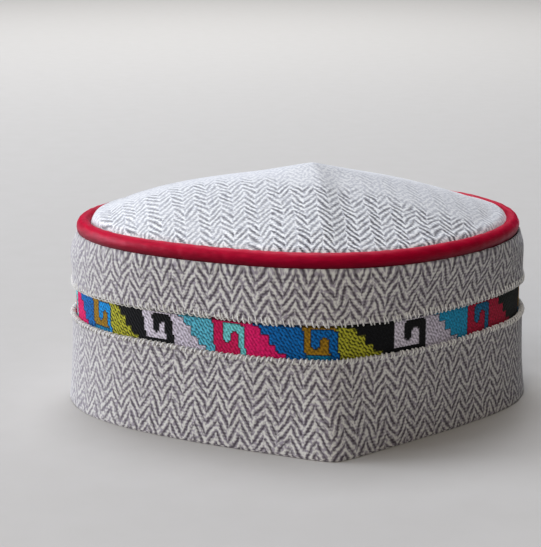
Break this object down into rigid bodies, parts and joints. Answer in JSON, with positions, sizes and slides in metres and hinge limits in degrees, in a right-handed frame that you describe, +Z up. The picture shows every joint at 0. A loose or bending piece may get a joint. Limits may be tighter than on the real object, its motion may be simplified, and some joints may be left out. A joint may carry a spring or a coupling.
{
  "type": "himachali cap",
  "caption": "Himachali wool cap with a herringbone tweed crown and wall, a woven border strip behind a folded cuff, and a red corded crown edge",
  "frame": {"origin": "The middle of the cap's outline seen from above, on the surface that its hem rests on.", "axes": "+Z is up through the crown, -Y points to the front fold, and +X is the wearer's left, the cap's wider way."},
  "size_m": [0.2038, 0.1954, 0.1027],
  "materials": {
    "wall_tweed": "herringbone wool tweed, off-white and charcoal yarn, slightly fuzzy",
    "crown_tweed": "herringbone wool tweed, off-white and charcoal yarn, slightly fuzzy",
    "border_weave": "woven wool border with stepped and hooked figures in black, grey, teal, pink, blue and olive",
    "piping_cloth": "crimson bias-cut cloth over a cord"
  },
  "bodies": {
    "root": {"cuff": "wall_tweed", "woven_band": "border_weave", "upper_wall": "wall_tweed", "piping": "piping_cloth", "crown": "crown_tweed"}
  },
  "joints": []
}
